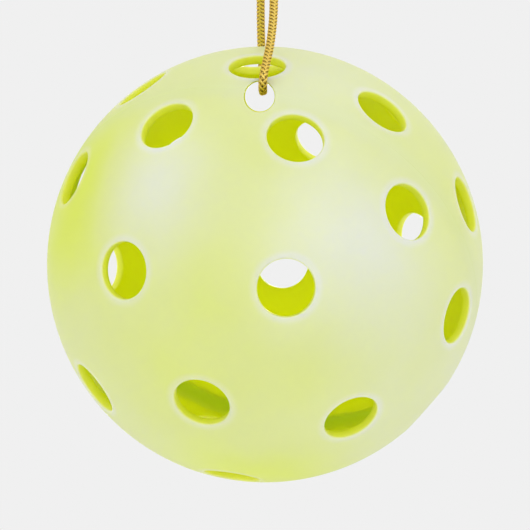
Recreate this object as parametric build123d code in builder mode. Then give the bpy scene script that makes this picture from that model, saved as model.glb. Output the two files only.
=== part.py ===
from build123d import *
import os
from math import asin, cos, degrees, radians, sin, tan

# A perforated pickleball hung on a cord, in millimetres, +Z up, the front of the ball towards -Y.
# The origin is the hanging point: the fork under the cord's knot, where a hook or a peg carries it.

# Ball
ball_diameter = 74.0
wall_thickness = 1.75
air_hole_diameter = 9.4
air_hole_rounding = 0.35
inner_ring_angle = 40.0
inner_ring_holes = 5
outer_ring_angle = 77.5
outer_ring_holes = 10
hang_drop = 54.0

# How the ball hangs: its moulding axis dips forward and to the left, and each half is turned about it
axis_dip = 38.0
axis_swing = 21.0
front_half_turn = -7.4
back_half_turn = 25.4

# Welded rim where the two halves meet
rim_thickness = 2.35
rim_height = 0.8
rim_blend_height = 1.9
seam_chamfer = 0.2
tongue_inner_radius = 35.5
tongue_outer_radius = 36.2
tongue_height = 0.9

# Hole drilled through both walls for the cord
hanging_hole_diameter = 5.2
hanging_hole_offset = -0.9
hanging_hole_front_height = 27.5
hanging_hole_front_depth = 24.7
hanging_hole_rise = 2.4

# Cord and knot
cord_diameter = 1.4
arc_share = 0.45
knot_width = 6.0
knot_height = 6.4
knot_base = 0.3
tail_length = 8.5
tail_lean = 24.0
tail_spread = 1.0

# The cord's route round the loop, from the knot down the front, through the ball and up the back
cord_route = [
    (0.55, -0.80, 0.80),
    (1.35, -6.00, -5.05),
    (1.55, -11.60, -11.20),
    (1.00, -17.10, -17.10),
    (0.25, -20.50, -20.60),
    (-0.25, -22.85, -22.95),
    (-0.35, -22.80, -24.30),
    (-0.35, -21.80, -25.30),
    (-0.35, -18.75, -25.45),
    (-0.40, 16.10, -23.75),
    (-0.45, 19.10, -23.50),
    (-0.45, 20.05, -22.55),
    (-0.50, 20.05, -21.20),
    (-0.55, 17.85, -18.55),
    (-0.75, 12.75, -12.75),
    (-0.75, 6.65, -5.85),
    (-0.45, 0.90, 0.80),
]

ball_radius = ball_diameter / 2
inner_radius = ball_radius - wall_thickness
rim_inner_radius = ball_radius - rim_thickness
chamfer_angle = degrees(asin(seam_chamfer / ball_radius))
blend_angle = degrees(asin(rim_blend_height / inner_radius))
air_hole_radius = air_hole_diameter / 2
ball_centre = Vector(0, 0, -hang_drop)

os.makedirs("parts", exist_ok=True)

# Each half is drawn in its own plane: origin at the ball's centre, z out through the half's pole
moulding_axis = Vector(
    -sin(radians(axis_swing)) * cos(radians(axis_dip)),
    -cos(radians(axis_swing)) * cos(radians(axis_dip)),
    -sin(radians(axis_dip)),
)


def half_plane(pole, turn):
    """A half's plane, with its x direction turned about the pole from the highest way up."""
    highest = Vector(0, 0, 1) - pole * pole.Z
    return Plane(ball_centre, x_dir=highest.rotate(Axis((0, 0, 0), pole), turn), z_dir=pole)


front_half = half_plane(moulding_axis, front_half_turn)
back_half = half_plane(moulding_axis * -1, back_half_turn)

drill_direction = Vector(0, cos(radians(hanging_hole_rise)), sin(radians(hanging_hole_rise)))
drill_start = ball_centre + Vector(
    hanging_hole_offset, -hanging_hole_front_depth, hanging_hole_front_height
)
hanging_hole = Plane(drill_start - drill_direction * ball_radius, x_dir=(1, 0, 0), z_dir=drill_direction)


def section_plane(half):
    """The plane of a half's cross-section: x runs out from the axis, y up the axis to the pole."""
    return Plane(half.origin, x_dir=half.x_dir, z_dir=half.x_dir.cross(half.z_dir))


def air_hole_planes(half):
    """One plane for each air hole of a half: a hole at the pole, an inner ring and an outer ring."""
    places = [(0, 0)]
    for from_pole, holes in (
        (inner_ring_angle, inner_ring_holes),
        (outer_ring_angle, outer_ring_holes),
    ):
        places += [(from_pole, (step + 0.5) * 360 / holes) for step in range(holes)]
    planes = []
    for from_pole, around in places:
        towards = (
            half.x_dir * (sin(radians(from_pole)) * cos(radians(around)))
            + half.y_dir * (sin(radians(from_pole)) * sin(radians(around)))
            + half.z_dir * cos(radians(from_pole))
        )
        planes.append(Plane(half.origin, z_dir=towards))
    return planes


def is_air_hole_edge(edge):
    """True for the round edges that the air holes leave on the two faces of the wall."""
    return edge.geom_type == GeomType.CIRCLE and abs(edge.radius - air_hole_radius) < 0.01


def moulded_half(half, lock_height):
    """A half shell. lock_height is negative for a tongue below the rim, positive for a groove in it."""
    with BuildPart() as shell:
        with BuildSketch(section_plane(half)):
            with BuildLine():
                outer = CenterArc((0, 0), ball_radius, 90, -90 + chamfer_angle)
                inner = CenterArc((0, 0), inner_radius, 90, -90 + blend_angle)
                Polyline(
                    outer @ 1,
                    (ball_radius - seam_chamfer, 0),
                    (tongue_outer_radius, 0),
                    (tongue_outer_radius, lock_height),
                    (tongue_inner_radius, lock_height),
                    (tongue_inner_radius, 0),
                    (rim_inner_radius, 0),
                    (rim_inner_radius, rim_height),
                    inner @ 1,
                )
                Line(inner @ 0, outer @ 0)
            make_face()
        revolve(axis=Axis(half.origin, half.z_dir))
        for air_hole in air_hole_planes(half):
            with BuildSketch(air_hole):
                Circle(air_hole_radius)
            extrude(amount=ball_diameter, mode=Mode.SUBTRACT)
        fillet(shell.edges().filter_by(is_air_hole_edge), air_hole_rounding)
        with BuildSketch(hanging_hole):
            Circle(hanging_hole_diameter / 2)
        extrude(amount=2 * ball_diameter, mode=Mode.SUBTRACT)
    return shell.part


# Front half shell: the half that faces the viewer, with a tongue on its rim
front_half_shell = moulded_half(front_half, -tongue_height)
front_half_shell.label = "front_half_shell"
export_step(front_half_shell, "parts/front_half_shell.step")

# Back half shell: the same moulding turned over and 54 degrees round, with a groove for the tongue
back_half_shell = moulded_half(back_half, tongue_height)
back_half_shell.label = "back_half_shell"
export_step(back_half_shell, "parts/back_half_shell.step")


def bend_radii(route):
    """Each corner's arc. It takes up arc_share of the shorter of the two runs that meet there."""
    points = [Vector(*point) for point in route]
    radii = []
    for before, corner, after in zip(points, points[1:], points[2:]):
        turn = (corner - before).get_angle(after - corner)
        shorter_run = min((corner - before).length, (after - corner).length)
        radii.append(arc_share * shorter_run / tan(radians(turn / 2)))
    return radii


# Hanging cord: one loop from the knot, through the drilled hole and back to the knot
cord_radii = bend_radii(cord_route)
print("cord radii, mm:", [round(radius, 1) for radius in cord_radii])
with BuildPart() as hanging_cord:
    with BuildLine():
        cord_line = FilletPolyline(*cord_route, radius=cord_radii)
    with BuildSketch(Plane(cord_line @ 0, z_dir=cord_line % 0)):
        Circle(cord_diameter / 2)
    sweep(path=cord_line)
hanging_cord.part.label = "hanging_cord"
export_step(hanging_cord.part, "parts/hanging_cord.step")
print("cord length, mm:", round(cord_line.length, 1))

# Knot: both ends of the cord tied together, with a short tail of each left above it
with BuildPart() as cord_knot:
    with BuildSketch(Plane.XZ):
        with Locations((0, knot_base + knot_height / 2)):
            Ellipse(knot_width / 2, knot_height / 2)
        with Locations((-knot_width, knot_base + knot_height / 2)):
            Rectangle(2 * knot_width, 2 * knot_height, mode=Mode.SUBTRACT)
    revolve(axis=Axis.Z)
    for side in (-1, 1):
        lean = Vector(sin(radians(tail_lean)) * side, 0, cos(radians(tail_lean)))
        foot = Vector(tail_spread * side, 0, knot_base + knot_height / 2)
        with BuildSketch(Plane(foot, z_dir=lean)):
            Circle(cord_diameter / 2)
        extrude(amount=tail_length)
cord_knot.part.label = "cord_knot"
export_step(cord_knot.part, "parts/cord_knot.step")
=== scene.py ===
from math import radians

import bpy
import numpy as np
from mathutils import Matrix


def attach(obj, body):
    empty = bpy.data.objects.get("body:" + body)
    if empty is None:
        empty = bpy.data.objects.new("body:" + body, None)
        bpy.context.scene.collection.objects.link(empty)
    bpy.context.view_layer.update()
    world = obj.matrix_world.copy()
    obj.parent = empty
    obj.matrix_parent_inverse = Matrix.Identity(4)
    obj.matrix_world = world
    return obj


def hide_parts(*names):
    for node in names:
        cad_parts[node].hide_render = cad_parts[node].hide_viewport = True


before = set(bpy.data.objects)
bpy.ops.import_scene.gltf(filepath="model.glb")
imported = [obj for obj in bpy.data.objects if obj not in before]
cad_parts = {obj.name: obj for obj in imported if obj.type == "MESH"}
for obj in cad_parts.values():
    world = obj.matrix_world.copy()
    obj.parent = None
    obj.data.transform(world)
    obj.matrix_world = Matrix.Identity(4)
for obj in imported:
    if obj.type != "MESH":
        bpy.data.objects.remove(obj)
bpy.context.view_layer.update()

# Camera, light and floor. The ball hangs in front of a pale, evenly lit backdrop, seen from straight
# ahead with a long lens. Two soft boxes in front, one behind and the pale room light it. The one
# behind is small, so that no bright line runs round the ball's outline.
camera_distance = 0.6727
camera_drop = -0.0541
camera = bpy.data.objects.new("camera", bpy.data.cameras.new("camera"))
camera.data.lens = 268.8
camera.data.sensor_width = 36.0
camera.location = (0.0, -camera_distance, camera_drop)
camera.rotation_euler = (radians(90), 0.0, 0.0)
bpy.context.scene.collection.objects.link(camera)
bpy.context.scene.camera = camera
bpy.context.scene.view_settings.view_transform = "Standard"


def linear(hex_colour):
    """An sRGB hex colour as linear red, green, blue and alpha 1."""
    values = np.array([int(hex_colour[start:start + 2], 16) / 255 for start in (1, 3, 5)])
    straight = np.where(values <= 0.04045, values / 12.92, ((values + 0.055) / 1.055) ** 2.4)
    return (*straight.tolist(), 1.0)


def add_node(tree, kind, inputs=None, **settings):
    """Adds one node. inputs maps a socket to a value, or to another node's output to link from."""
    node = tree.nodes.new(kind)
    for name, value in settings.items():
        setattr(node, name, value)
    for socket, value in (inputs or {}).items():
        if isinstance(value, bpy.types.NodeSocket):
            tree.links.new(value, node.inputs[socket])
        else:
            node.inputs[socket].default_value = value
    return node


world = bpy.data.worlds.new("pale_room")
bpy.context.scene.world = world
world.use_nodes = True
world.node_tree.nodes["Background"].inputs["Color"].default_value = linear("#F0F0F0")
world.node_tree.nodes["Background"].inputs["Strength"].default_value = 1.0

ball_centre = np.array((0.0, 0.0, -0.054))
for name, place, size, power in (
    ("key_light", (0.40, -0.85, 0.50), 0.6, 1.3),
    ("left_light", (-0.60, -0.85, -0.15), 0.5, 0.6),
    ("back_light", (0.0, 0.90, -0.054), 0.2, 3.2),
):
    light = bpy.data.objects.new(name, bpy.data.lights.new(name, "AREA"))
    light.data.size = size
    light.data.energy = power
    light.location = place
    light.visible_camera = False
    toward = ball_centre - np.array(place)
    flat_reach = float(np.hypot(toward[0], toward[1]))
    light.rotation_euler = (
        float(np.arctan2(flat_reach, -toward[2])),
        0.0,
        float(np.arctan2(toward[1], toward[0]) - np.pi / 2),
    )
    bpy.context.scene.collection.objects.link(light)


def make_object(name, points, faces, smooth=True):
    """A mesh object from an array of points and one of faces. It stays at the origin, unturned."""
    mesh = bpy.data.meshes.new(name)
    mesh.from_pydata(points.tolist(), [], faces.tolist())
    mesh.polygons.foreach_set("use_smooth", np.full(len(mesh.polygons), smooth))
    mesh.update()
    piece = bpy.data.objects.new(name, mesh)
    bpy.context.scene.collection.objects.link(piece)
    return piece


floor_level = -0.60
floor_radius = 2.5
floor_corners = 96
around = np.linspace(0, 2 * np.pi, floor_corners, endpoint=False)
floor_rim = np.stack(
    [floor_radius * np.cos(around), floor_radius * np.sin(around), np.full(floor_corners, floor_level)],
    axis=1,
)
floor = make_object("floor", floor_rim, np.arange(floor_corners)[None], smooth=False)
paint = bpy.data.materials.new("matt_white_paint")
paint.use_nodes = True
paint.node_tree.nodes["Principled BSDF"].inputs["Base Color"].default_value = linear("#EFEFEF")
paint.node_tree.nodes["Principled BSDF"].inputs["Roughness"].default_value = 0.9
floor.data.materials.append(paint)

# Hanging cord: a gold braid of eight flat metallised yarns, 1.4 mm thick. It leaves the knot, bends in
# over the top edge of the small hole in front, runs through the ball, and comes back up behind it.
cord_route = np.array([
    (0.55, -0.80, 0.80),
    (1.35, -6.00, -5.05),
    (1.55, -11.60, -11.20),
    (1.00, -17.10, -17.10),
    (0.25, -20.50, -20.60),
    (-0.25, -22.85, -22.95),
    (-0.35, -22.80, -24.30),
    (-0.35, -21.80, -25.30),
    (-0.35, -18.75, -25.45),
    (-0.40, 16.10, -23.75),
    (-0.45, 19.10, -23.50),
    (-0.45, 20.05, -22.55),
    (-0.50, 20.05, -21.20),
    (-0.55, 17.85, -18.55),
    (-0.75, 12.75, -12.75),
    (-0.75, 6.65, -5.85),
    (-0.45, 0.90, 0.80),
]) / 1000


def smooth_line(route):
    """The points of a NURBS curve that has the route's points as its control points."""
    curve = bpy.data.curves.new("route", "CURVE")
    curve.dimensions = "3D"
    curve.resolution_u = 24
    spline = curve.splines.new("NURBS")
    spline.points.add(len(route) - 1)
    spline.points.foreach_set("co", np.insert(route, 3, 1.0, axis=1).ravel())
    spline.order_u = 3
    spline.use_endpoint_u = True
    holder = bpy.data.objects.new("route", curve)
    mesh = bpy.data.meshes.new_from_object(holder)
    points = np.zeros(len(mesh.vertices) * 3)
    mesh.vertices.foreach_get("co", points)
    bpy.data.objects.remove(holder)
    bpy.data.meshes.remove(mesh)
    return points.reshape(-1, 3)


def spaced(line, step):
    """A line's points again, evenly spaced along it, with the distance of each from its start."""
    travelled = np.concatenate([[0], np.cumsum(np.linalg.norm(np.diff(line, axis=0), axis=1))])
    distance = np.linspace(0, travelled[-1], int(travelled[-1] / step) + 1)
    points = np.stack([np.interp(distance, travelled, line[:, axis]) for axis in range(3)], axis=1)
    return points, distance


def unit(vectors):
    """Each vector over its own length."""
    return vectors / np.linalg.norm(vectors, axis=-1, keepdims=True)


def frames_along(points):
    """Side and up directions at each point of a line, carried on without twist.

    Each side direction is the one before it, less its part along the line, at length one.
    """
    along = unit(np.gradient(points, axis=0))
    sides = np.empty_like(points)
    side = np.array([1.0, 0.0, 0.0])
    for place, direction in enumerate(along):
        side = unit(side - direction * (side @ direction))
        sides[place] = side
    return sides, np.cross(along, sides)


# Each yarn turns once round the cord in yarn_pitch. The core fills the middle and shows in the gaps.
yarn_pitch = 0.0032
yarn_width = 0.00050
yarn_thickness = 0.00026
yarn_ring_radius = 0.00052
yarn_lift = 0.00011
yarns_each_way = 4
core_radius = 0.00038
core_lane = 2 * yarns_each_way + 1
yarn_step = 0.0001
yarn_corners = 8
yarn_end_quads = np.array([(0, 1, 2, 3), (0, 3, 4, 7), (4, 5, 6, 7)])
edge_in_lane = 0.45


def braid(points, distance, taper=None):
    """Eight yarns round a plain core: four turn each way, and each goes over two and under two.

    A yarn's centre turns once round the line in yarn_pitch, and its distance from the line rises and
    falls as a cosine, two times in each turn. Its section is an ellipse, flat against the cord, and
    both its ends are closed. Taper scales everything across the line. Each yarn has its own lane, a
    strip of the UV map one unit wide.
    """
    side, up = frames_along(points)
    section = np.linspace(0, 2 * np.pi, yarn_corners, endpoint=False)
    squeeze = np.ones(len(points)) if taper is None else taper
    turns = 2 * np.pi * distance / yarn_pitch
    strands = []
    for way, first_lane in ((1, 0), (-1, yarns_each_way)):
        for number in range(yarns_each_way):
            turn = way * turns + number * 2 * np.pi / yarns_each_way
            wave = way * np.cos(2 * turns + way * number * np.pi - way * np.pi / 4)
            out = np.cos(turn)[:, None] * side + np.sin(turn)[:, None] * up
            reach = (yarn_ring_radius + yarn_lift * wave) * squeeze
            centre = points + out * reach[:, None]
            forward = unit(np.gradient(centre, axis=0))
            across = unit(np.cross(out, forward))
            outward = np.cross(forward, across)
            half_width = yarn_width / 2 * squeeze
            half_depth = yarn_thickness / 2 * squeeze
            strands.append((centre, half_width, across, half_depth, outward, first_lane + number))
    core_size = core_radius * squeeze
    strands.append((points, core_size, side, core_size, up, core_lane))

    count = len(points)
    row = np.arange(count - 1)[:, None] * yarn_corners
    column = np.arange(yarn_corners)[None]
    after = (column + 1) % yarn_corners
    quads = np.stack(
        [row + column, row + after, row + after + yarn_corners, row + column + yarn_corners], axis=-1
    ).reshape(-1, 4)
    last_ring = (count - 1) * yarn_corners
    quads = np.concatenate([quads, yarn_end_quads[:, ::-1], yarn_end_quads + last_ring])
    all_points, all_faces, all_uv = [], [], []
    for centre, half_width, across, half_depth, outward, lane in strands:
        ring = (
            centre[:, None]
            + (half_width[:, None] * np.cos(section))[..., None] * across[:, None]
            + (half_depth[:, None] * np.sin(section))[..., None] * outward[:, None]
        )
        all_faces.append(quads + len(all_points) * count * yarn_corners)
        all_points.append(ring.reshape(-1, 3))
        length_along = np.repeat(distance[:, None] * 1000, yarn_corners, axis=1)
        place_across = np.repeat(np.cos(section)[None] * edge_in_lane + lane + 0.5, count, axis=0)
        all_uv.append(np.stack([length_along, place_across], axis=-1).reshape(-1, 2))
    return np.concatenate(all_points), np.concatenate(all_faces), np.concatenate(all_uv)


def give_uv(piece, uv):
    """Writes a UV map from one pair of numbers for each vertex."""
    layer = piece.data.uv_layers.new(name="yarn")
    corner_vertex = np.zeros(len(piece.data.loops), dtype=np.int32)
    piece.data.loops.foreach_get("vertex_index", corner_vertex)
    layer.data.foreach_set("uv", uv[corner_vertex].ravel())


# Metallised yarn: gold film slit into fine flat threads and braided. It glints along each yarn. Towards
# each yarn's edges it is painted brown, and the core is painted brown all over, as painted shade in the
# gaps between the yarns. u is millimetres along the cord, and v counts yarns, 0.5 mm wide, so that the
# threads come out about 0.2 mm long and 0.03 mm wide, and show as a fine shimmer.
thread_scale = 1.6
thread_stretch = (3.0, 14.0, 1.0)
thread_slant = 0.12
gold = bpy.data.materials.new("gold_metallised_braid")
gold.use_nodes = True
tree = gold.node_tree
surface = tree.nodes["Principled BSDF"]
yarn_map = add_node(tree, "ShaderNodeUVMap", uv_map="yarn")
stretch = add_node(
    tree, "ShaderNodeMapping",
    {"Vector": yarn_map.outputs["UV"], "Scale": thread_stretch, "Rotation": (0, 0, thread_slant)},
)
threads = add_node(
    tree, "ShaderNodeTexNoise", {"Vector": stretch.outputs["Vector"], "Scale": thread_scale, "Detail": 3.0}
)
gold_tones = add_node(tree, "ShaderNodeValToRGB", {"Fac": threads.outputs["Fac"]})
gold_tones.color_ramp.elements[0].position = 0.30
gold_tones.color_ramp.elements[0].color = linear("#C09632")
gold_tones.color_ramp.elements[1].position = 0.68
gold_tones.color_ramp.elements[1].color = linear("#FFF2A0")
middle_tone = gold_tones.color_ramp.elements.new(0.5)
middle_tone.color = linear("#FFDC68")
across_yarn = add_node(tree, "ShaderNodeSeparateXYZ", {"Vector": yarn_map.outputs["UV"]})
share_across = add_node(tree, "ShaderNodeMath", {0: across_yarn.outputs["Y"]}, operation="FRACT")
off_middle = add_node(
    tree, "ShaderNodeMath", {0: share_across.outputs["Value"], 1: 0.5}, operation="SUBTRACT"
)
off_either_way = add_node(tree, "ShaderNodeMath", {0: off_middle.outputs["Value"]}, operation="ABSOLUTE")
# Painted shade: the colour turns to dark brown towards each yarn's edges and over the whole core.
edge_shade = add_node(
    tree, "ShaderNodeMapRange",
    {"Value": off_either_way.outputs["Value"], "From Min": 0.26, "From Max": edge_in_lane,
     "To Min": 0.0, "To Max": 0.88},
)
on_core = add_node(
    tree, "ShaderNodeMath", {0: across_yarn.outputs["Y"], 1: float(core_lane)}, operation="GREATER_THAN"
)
gap_shade = add_node(
    tree, "ShaderNodeMath", {0: edge_shade.outputs["Result"], 1: on_core.outputs["Value"]},
    operation="MAXIMUM",
)
# A colour Mix node's sockets 0, 6 and 7 are its factor and its two colours, and output 2 is the mix.
yarn_colour = add_node(
    tree, "ShaderNodeMix",
    {0: gap_shade.outputs["Value"], 6: gold_tones.outputs["Color"], 7: linear("#5A3C00")},
    data_type="RGBA",
)
relief = add_node(
    tree, "ShaderNodeBump", {"Height": threads.outputs["Fac"], "Strength": 0.8, "Distance": 0.00005}
)
tree.links.new(yarn_colour.outputs[2], surface.inputs["Base Color"])
tree.links.new(relief.outputs["Normal"], surface.inputs["Normal"])
# Most of a yarn's face is bare metal, and its reflections stay gold at a glancing angle too.
surface.inputs["Metallic"].default_value = 0.85
surface.inputs["Specular Tint"].default_value = linear("#FFD25A")
surface.inputs["Roughness"].default_value = 0.33

cord_points, cord_distance = spaced(smooth_line(cord_route), yarn_step)
cord_mesh, cord_faces, cord_uv = braid(cord_points, cord_distance)
hanging_braid = make_object("hanging_braid", cord_mesh, cord_faces)
give_uv(hanging_braid, cord_uv)
hanging_braid.data.materials.append(gold)
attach(hanging_braid, "cord")
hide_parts("hanging_cord")

# Knot: the two ends of the cord go up side by side through nearly three and a half wraps, pulled
# tight, and leave a short tail each. The tails' ends are sealed, so that the braid draws in there. It
# is the same gold braid.
right_route = np.array([
    (0.55, -0.80, 0.80),
    (0.72, -0.30, 1.80),
    (0.75, 0.05, 3.60),
    (0.85, 0.10, 5.60),
    (1.70, 0.15, 7.30),
    (2.90, 0.45, 9.30),
    (3.70, 0.40, 11.10),
]) / 1000
left_route = np.array([
    (-0.45, 0.90, 0.80),
    (-0.70, 0.35, 1.80),
    (-0.75, 0.00, 3.60),
    (-0.85, -0.10, 5.60),
    (-1.60, -0.35, 7.40),
    (-2.60, -0.60, 9.10),
    (-3.80, -0.50, 10.60),
]) / 1000
wrap_turns = 3.4
wrap_start = 0.7
wrap_low, wrap_high = 0.00175, 0.00585
wrap_half_width, wrap_half_depth = 0.00215, 0.00150
wrap_line_points = 60
tucked_share = 0.10
tucked_size = 0.25
sealed_length = 0.0006
sealed_size = 0.02


def wraps():
    """A helix round both strands, flattened front to back.

    Its width and depth are those of the wraps, and at both ends they ease down to tucked_size of that,
    over tucked_share of its length, where the end is drawn in between the strands.
    """
    share = np.linspace(0, 1, wrap_line_points)
    angle = 2 * np.pi * wrap_turns * share - wrap_start
    tuck = np.clip(np.minimum(share, 1 - share) / tucked_share, 0, 1)
    size = tucked_size + (1 - tucked_size) * tuck * tuck * (3 - 2 * tuck)
    return np.stack([
        wrap_half_width * size * np.cos(angle),
        wrap_half_depth * size * np.sin(angle),
        wrap_low + (wrap_high - wrap_low) * share,
    ], axis=1)


knot_points, knot_faces, knot_uv = [], [], []
for line, sealed in ((smooth_line(right_route), True), (smooth_line(left_route), True), (wraps(), False)):
    points, distance = spaced(line, yarn_step)
    from_end = distance[-1] - distance
    taper = np.sqrt(np.clip(from_end / sealed_length, sealed_size, 1)) if sealed else None
    block, faces, uv = braid(points, distance, taper)
    knot_faces.append(faces + sum(len(other) for other in knot_points))
    knot_points.append(block)
    knot_uv.append(uv)
knot = make_object("tied_knot", np.concatenate(knot_points), np.concatenate(knot_faces))
give_uv(knot, np.concatenate(knot_uv))
knot.data.materials.append(gold)
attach(knot, "cord")
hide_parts("cord_knot")

# Half shells: injection-moulded polyethylene, 1.75 mm thick, each with 16 air holes: one at the pole,
# five round it and ten near the rim. The rims are welded, with a fine seam outside and a bead inside.
ball_radius = 0.037
wall = 0.00175
inner_radius = ball_radius - wall
hole_radius = 0.0047
edge_rounding = 0.00035
inner_ring_angle, inner_ring_holes = 40.0, 5
outer_ring_angle, outer_ring_holes = 77.5, 10
seam_depth = 0.00005
seam_width = 0.00014
bead_depth = 0.0006
bead_width = 0.0019
axis_dip, axis_swing = radians(38.0), radians(21.0)
front_pole = -np.array([
    np.sin(axis_swing) * np.cos(axis_dip), np.cos(axis_swing) * np.cos(axis_dip), np.sin(axis_dip)
])
half_turns = {"front_half_shell": radians(-7.4), "back_half_shell": radians(25.4)}
half_poles = {"front_half_shell": front_pole, "back_half_shell": -front_pole}


def hole_directions(pole, turn):
    """The 16 directions of a half's air holes, from the ball's centre.

    Each is the pole leant over by its ring's angle, towards its place round the ring. The places are
    evenly spaced, half a space on from the highest way, and the whole half is then turned by turn.
    """
    highest = unit(np.array([0, 0, 1]) - pole * pole[2])
    beside = np.cross(pole, highest)
    start = highest * np.cos(turn) + beside * np.sin(turn)
    quarter = np.cross(pole, start)
    angles = [(0.0, 0.0)]
    for ring_angle, count in ((inner_ring_angle, inner_ring_holes), (outer_ring_angle, outer_ring_holes)):
        angles += [(ring_angle, (step + 0.5) * 360 / count) for step in range(count)]
    lean, spin = np.radians(np.array(angles)).T
    flat = np.cos(spin)[:, None] * start + np.sin(spin)[:, None] * quarter
    return np.sin(lean)[:, None] * flat + np.cos(lean)[:, None] * pole


def cell_corners(own, others, pole):
    """Corners of the patch of sphere nearer to one hole than to any other of its half, in order.

    The patch is cut by the planes halfway to the other holes and by the plane of the rim. Every two
    planes meet in a line, and a corner is where such a line leaves the sphere inside all the planes.
    """
    planes = unit(np.concatenate([own - others, pole[None]]))
    one, two = np.triu_indices(len(planes), 1)
    meet = np.cross(planes[one], planes[two])
    meet = unit(meet[np.linalg.norm(meet, axis=1) > 1e-6])
    meet = np.concatenate([meet, -meet])
    meet = meet[((meet @ planes.T) > -1e-7).all(axis=1) & (meet @ own > 0)]
    first = unit(meet[0] - own * (meet[0] @ own))
    second = np.cross(own, first)
    meet = meet[np.argsort(np.arctan2(meet @ second, meet @ first))]
    apart = np.linalg.norm(meet - np.roll(meet, 1, axis=0), axis=1) > 1e-5
    return meet[apart]


# Shares of the way from a patch's edge to its hole, closer together at the edge, where the seam is.
profile_shares = np.concatenate([[0, 0.012, 0.03, 0.055, 0.09, 0.14], np.linspace(0.2, 1, 9)])
patch_edge_step = 0.00062
outer_bend_steps = 6
inner_bend_steps = 5
hole_wall_steps = 3


def patch_edge(corners):
    """Points round a patch's edge: great circles from corner to corner, in nearly even steps."""
    edge = []
    for here, there in zip(corners, np.roll(corners, -1, axis=0)):
        span = np.arccos(np.clip(here @ there, -1, 1)) * ball_radius
        count = max(2, int(round(span / patch_edge_step)))
        share = np.linspace(0, 1, count, endpoint=False)[:, None]
        edge.append(unit(here * (1 - share) + there * share))
    return np.concatenate(edge)


def wall_profile(reach):
    """The wall's profiles round a hole, one for each angle in reach, where the patch's edge is.

    Each runs on the outer sphere from the patch's edge to the hole, round the hole's edge, down the
    hole's wall, round its inner edge and back over the inner sphere. Each point is a distance from
    the hole's axis and a height along it: on a sphere, its radius times the sine and the cosine of
    the angle from the axis, and on an edge, the same of a small circle that touches both faces.
    """
    bend_radius = hole_radius + edge_rounding
    outer_bend_height = np.sqrt((ball_radius - edge_rounding) ** 2 - bend_radius ** 2)
    inner_bend_height = np.sqrt((inner_radius + edge_rounding) ** 2 - bend_radius ** 2)
    outer_start = np.arctan2(bend_radius, outer_bend_height)
    inner_start = np.arctan2(bend_radius, inner_bend_height)
    every_column = np.ones(len(reach))

    share = profile_shares[:, None]
    angle = reach * (1 - share) + outer_start * share
    outer_sphere = np.stack([ball_radius * np.sin(angle), ball_radius * np.cos(angle)], axis=-1)
    bend = np.linspace(np.pi / 2 - outer_start, np.pi, outer_bend_steps + 1)[1:, None]
    outer_edge = np.stack([
        (bend_radius + edge_rounding * np.cos(bend)) * every_column,
        (outer_bend_height + edge_rounding * np.sin(bend)) * every_column,
    ], axis=-1)
    drop = np.linspace(0, 1, hole_wall_steps + 1)[1:-1, None]
    hole_wall = np.stack([
        np.full_like(drop, hole_radius) * every_column,
        (outer_bend_height * (1 - drop) + inner_bend_height * drop) * every_column,
    ], axis=-1)
    bend = np.linspace(np.pi, 3 * np.pi / 2 - inner_start, inner_bend_steps + 1)[:, None]
    inner_edge = np.stack([
        (bend_radius + edge_rounding * np.cos(bend)) * every_column,
        (inner_bend_height + edge_rounding * np.sin(bend)) * every_column,
    ], axis=-1)
    share = profile_shares[::-1][1:, None]
    angle = reach * (1 - share) + inner_start * share
    inner_sphere = np.stack([inner_radius * np.sin(angle), inner_radius * np.cos(angle)], axis=-1)
    return np.concatenate([outer_sphere, outer_edge, hole_wall, inner_edge, inner_sphere])


def half_shell(name):
    """One half as a closed surface: a ring of quads round each hole, over both faces of the wall.

    A point of a ring is its profile's distance from the hole's axis, taken towards the patch's edge,
    plus its profile's height along the axis. The seam is a straight-sided groove at the rim outside,
    and the bead a quarter round along it inside. A row of quads closes the wall at the rim.
    """
    pole = half_poles[name]
    holes = hole_directions(pole, half_turns[name])
    outer_rows = len(profile_shares)
    inner_rows = outer_rows - 1
    points, faces = [], []
    start = 0
    for number, own in enumerate(holes):
        edge = patch_edge(cell_corners(own, np.delete(holes, number, axis=0), pole))
        reach = np.arccos(np.clip(edge @ own, -1, 1))
        sideways = unit(edge - (edge @ own)[:, None] * own)
        profile = wall_profile(reach)
        ring = profile[..., 0:1] * sideways + profile[..., 1:2] * own

        height = ring @ pole
        groove = seam_depth * np.clip(1 - height[:outer_rows] / seam_width, 0, 1)
        ring[:outer_rows] *= (1 - groove / ball_radius)[..., None]
        near_rim = np.clip(1 - height[-inner_rows:] / bead_width, 0, 1)
        bead = bead_depth * np.sqrt(np.clip(1 - (1 - near_rim) ** 2, 0, 1))
        ring[-inner_rows:] *= (1 - bead / inner_radius)[..., None]

        rows, columns = ring.shape[:2]
        row = np.arange(rows - 1)[:, None] * columns
        column = np.arange(columns)[None]
        after = (column + 1) % columns
        quads = np.stack(
            [row + column, row + column + columns, row + after + columns, row + after], axis=-1
        ).reshape(-1, 4)
        on_rim = np.abs(edge @ pole) < 1e-6
        here = np.flatnonzero(on_rim & np.roll(on_rim, -1))
        there = (here + 1) % columns
        last = (rows - 1) * columns
        rim_quads = np.stack([here, there, last + there, last + here], axis=-1)
        points.append(ring.reshape(-1, 3))
        faces += [quads + start, rim_quads + start]
        start += rows * columns
    return np.concatenate(points) + ball_centre, np.concatenate(faces)


# The hanging hole is drilled from front to back through both halves, rising a little.
drill_radius = 0.0026
drill_rise = radians(2.4)
drill_start = ball_centre + np.array([-0.0009, -0.0247, 0.0275])
drill_way = np.array([0.0, np.cos(drill_rise), np.sin(drill_rise)])
drill_before, drill_beyond = 0.02, 0.07
drill_corners = 96


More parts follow.
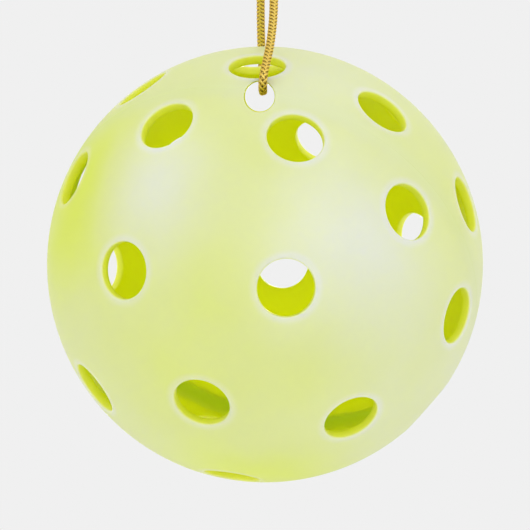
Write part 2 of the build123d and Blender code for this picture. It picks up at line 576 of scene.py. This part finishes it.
def drill_bit():
    """A closed round bar along the drilled hole, through both walls of the ball."""
    turn = np.linspace(0, 2 * np.pi, drill_corners, endpoint=False)
    across = np.array([1.0, 0.0, 0.0])
    upright = np.cross(across, drill_way)
    ring = np.cos(turn)[:, None] * across + np.sin(turn)[:, None] * upright
    near_end = drill_start - drill_way * drill_before + ring * drill_radius
    far_end = drill_start + drill_way * drill_beyond + ring * drill_radius
    column = np.arange(drill_corners)
    after = (column + 1) % drill_corners
    sides = np.stack([column, column + drill_corners, after + drill_corners, after], axis=-1)
    caps = [column.tolist(), (column + drill_corners)[::-1].tolist()]
    mesh = bpy.data.meshes.new("drill_bit")
    mesh.from_pydata(np.concatenate([near_end, far_end]).tolist(), [], sides.tolist() + caps)
    mesh.update()
    bit = bpy.data.objects.new("drill_bit", mesh)
    bpy.context.scene.collection.objects.link(bit)
    return bit


def give_edge_distance(mesh, holes):
    """Writes how far each point lies outside the nearest air hole's wall, in millimetres.

    The distance is that from the hole's axis, less the hole's radius.
    """
    points = np.zeros(len(mesh.vertices) * 3)
    mesh.vertices.foreach_get("co", points)
    from_middle = points.reshape(-1, 3) - ball_centre
    along = from_middle @ holes.T
    from_axis = np.sqrt(np.maximum((from_middle ** 2).sum(axis=1)[:, None] - along ** 2, 0))
    from_axis[along < 0] = ball_radius
    reading = mesh.attributes.new("edge_distance", "FLOAT", "POINT")
    reading.data.foreach_set("value", ((from_axis.min(axis=1) - hole_radius) * 1000).astype(np.float32))


# Moulded polyethylene, satin and slightly translucent. It is a strong lime in the holes and inside, and
# outside it is paler, in clouds that differ at random. Over the outside, soft patches are painted light:
# paler patches on the front are painted highlights, and patches with a stronger lime, at the left side,
# the bottom and one small one in front, are painted shade. A pale ring round each hole's edge is a
# painted highlight too. A patch has a direction from the ball's centre, a reach in metres and how much
# it adds to the paleness.
cloud_scale = 55.0  # per metre: clouds of about 18 mm
painted_light_patches = (
    ((0.37, -0.92, 0.12), 0.026, 0.62),
    ((-0.47, -0.82, 0.33), 0.019, 0.52),
    ((0.20, -0.50, 0.84), 0.024, 0.34),
    ((0.75, -0.45, -0.48), 0.030, 0.30),
    ((-0.93, -0.30, 0.28), 0.026, -0.46),
    ((0.00, -0.15, -0.99), 0.024, -0.44),
    ((-0.20, -0.97, -0.12), 0.013, -0.10),
)
plastic = bpy.data.materials.new("moulded_polyethylene_lime")
plastic.use_nodes = True
tree = plastic.node_tree
surface = tree.nodes["Principled BSDF"]
place = add_node(tree, "ShaderNodeTexCoord")
cloud = add_node(
    tree, "ShaderNodeTexNoise",
    {"Vector": place.outputs["Object"], "Scale": cloud_scale, "Detail": 2.0, "Roughness": 0.5},
)
wash = add_node(
    tree, "ShaderNodeMapRange",
    {"Value": cloud.outputs["Fac"], "From Min": 0.3, "From Max": 0.7, "To Min": 0.30, "To Max": 0.46},
)
cloud_and_painted_light = wash.outputs["Result"]
# Painted light: a patch with a positive change makes the outside paler, as a painted highlight, and one with
# a negative change gives a stronger lime, as painted shade.
for direction, reach, change in painted_light_patches:
    middle = ball_centre + ball_radius * np.array(direction)
    apart = add_node(
        tree, "ShaderNodeVectorMath", {0: place.outputs["Object"], 1: tuple(middle)}, operation="DISTANCE"
    )
    patch = add_node(
        tree, "ShaderNodeMapRange",
        {"Value": apart.outputs["Value"], "From Min": reach, "From Max": 0.0,
         "To Min": 0.0, "To Max": change},
        interpolation_type="SMOOTHSTEP",
    )
    cloud_and_painted_light = add_node(
        tree, "ShaderNodeMath", {0: cloud_and_painted_light, 1: patch.outputs["Result"]}, operation="ADD"
    ).outputs["Value"]
# Painted highlight: the outside is paler in a ring round each air hole's edge, fullest within 0.5 mm of the
# hole's wall and gone by 1.7 mm.
edge_reading = add_node(tree, "ShaderNodeAttribute", attribute_name="edge_distance")
painted_edge_highlight = add_node(
    tree, "ShaderNodeMapRange",
    {"Value": edge_reading.outputs["Fac"], "From Min": 1.7, "From Max": 0.5, "To Min": 0.0, "To Max": 0.26},
    interpolation_type="SMOOTHSTEP",
)
tone_with_painted_light = add_node(tree, "ShaderNodeMath", {0: cloud_and_painted_light, 1: painted_edge_highlight.outputs["Result"]}, operation="ADD")
outside_tone = add_node(tree, "ShaderNodeValToRGB", {"Fac": tone_with_painted_light.outputs["Value"]})
outside_tone.color_ramp.elements[0].position = 0.0
outside_tone.color_ramp.elements[0].color = linear("#DCED4C")
outside_tone.color_ramp.elements[1].position = 1.0
outside_tone.color_ramp.elements[1].color = linear("#E9EDDA")
for position, tone in ((0.35, "#E0EA98"), (0.7, "#E5ECBE")):
    step = outside_tone.color_ramp.elements.new(position)
    step.color = linear(tone)

# Through the wall the colour goes from the inside's lime to the paler outside.
from_centre = add_node(
    tree, "ShaderNodeVectorMath", {0: place.outputs["Object"], 1: tuple(ball_centre)}, operation="DISTANCE"
)
share_of_wall = add_node(
    tree, "ShaderNodeMapRange",
    {"Value": from_centre.outputs["Value"], "From Min": inner_radius, "From Max": ball_radius},
)
wall_tone = add_node(tree, "ShaderNodeValToRGB", {"Fac": share_of_wall.outputs["Result"]})
wall_tone.color_ramp.elements[0].position = 0.0
wall_tone.color_ramp.elements[0].color = linear("#F0FF10")
wall_tone.color_ramp.elements[1].position = 0.92
wall_tone.color_ramp.elements[1].color = linear("#E6EE6A")
outside = add_node(
    tree, "ShaderNodeMapRange",
    {"Value": share_of_wall.outputs["Result"], "From Min": 0.80, "From Max": 0.98},
)
colour = add_node(
    tree, "ShaderNodeMix",
    {0: outside.outputs["Result"], 6: wall_tone.outputs["Color"], 7: outside_tone.outputs["Color"]},
    data_type="RGBA",
)
tree.links.new(colour.outputs[2], surface.inputs["Base Color"])

# The mould leaves a faint grain, at most 0.03 mm deep, and the gloss comes and goes with the clouds.
grain_scale = 900.0  # per metre: grains of about 1.1 mm
moulded_grain = add_node(
    tree, "ShaderNodeTexNoise", {"Vector": place.outputs["Object"], "Scale": grain_scale, "Detail": 3.0}
)
grain_relief = add_node(
    tree, "ShaderNodeBump", {"Height": moulded_grain.outputs["Fac"], "Strength": 0.25, "Distance": 0.00003}
)
scuffs = add_node(
    tree, "ShaderNodeMapRange",
    {"Value": cloud.outputs["Fac"], "From Min": 0.3, "From Max": 0.7, "To Min": 0.34, "To Max": 0.46},
)
tree.links.new(grain_relief.outputs["Normal"], surface.inputs["Normal"])
tree.links.new(scuffs.outputs["Result"], surface.inputs["Roughness"])

# Light spreads in the plastic, but not close to the weld, where the two halves' meshes end and it
# would be lost through their edges as a dark line.
from_middle = add_node(
    tree, "ShaderNodeVectorMath", {0: place.outputs["Object"], 1: tuple(ball_centre)}, operation="SUBTRACT"
)
rim_height = add_node(
    tree, "ShaderNodeVectorMath", {0: from_middle.outputs["Vector"], 1: tuple(front_pole)},
    operation="DOT_PRODUCT",
)
rim_distance = add_node(tree, "ShaderNodeMath", {0: rim_height.outputs["Value"]}, operation="ABSOLUTE")
away_from_weld = add_node(
    tree, "ShaderNodeMapRange",
    {"Value": rim_distance.outputs["Value"], "From Min": 0.0004, "From Max": 0.0035},
    interpolation_type="SMOOTHSTEP",
)
tree.links.new(away_from_weld.outputs["Result"], surface.inputs["Subsurface Weight"])
surface.inputs["IOR"].default_value = 1.51
surface.inputs["Subsurface Radius"].default_value = (1.0, 1.0, 0.35)
surface.inputs["Subsurface Scale"].default_value = 0.0045

# The patches' edges are merged, the hanging hole is cut, and each half is put in its CAD shell's place.
merge_distance = 0.000004
sharp_angle = radians(35)
bit = drill_bit()
for name in half_poles:
    shell_points, shell_faces = half_shell(name)
    shell = make_object(name.replace("shell", "moulding"), shell_points, shell_faces)
    weld = shell.modifiers.new("join_patches", "WELD")
    weld.merge_threshold = merge_distance
    drill = shell.modifiers.new("drill", "BOOLEAN")
    drill.object = bit
    drill.operation = "DIFFERENCE"
    drill.solver = "EXACT"
    drilled = shell.evaluated_get(bpy.context.evaluated_depsgraph_get())
    finished = bpy.data.meshes.new_from_object(drilled)
    shell.modifiers.clear()
    shell.data = finished
    finished.set_sharp_from_angle(angle=sharp_angle)
    give_edge_distance(finished, hole_directions(half_poles[name], half_turns[name]))
    finished.materials.clear()
    finished.materials.append(plastic)
    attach(shell, "ball")
    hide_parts(name)
bpy.data.objects.remove(bit)
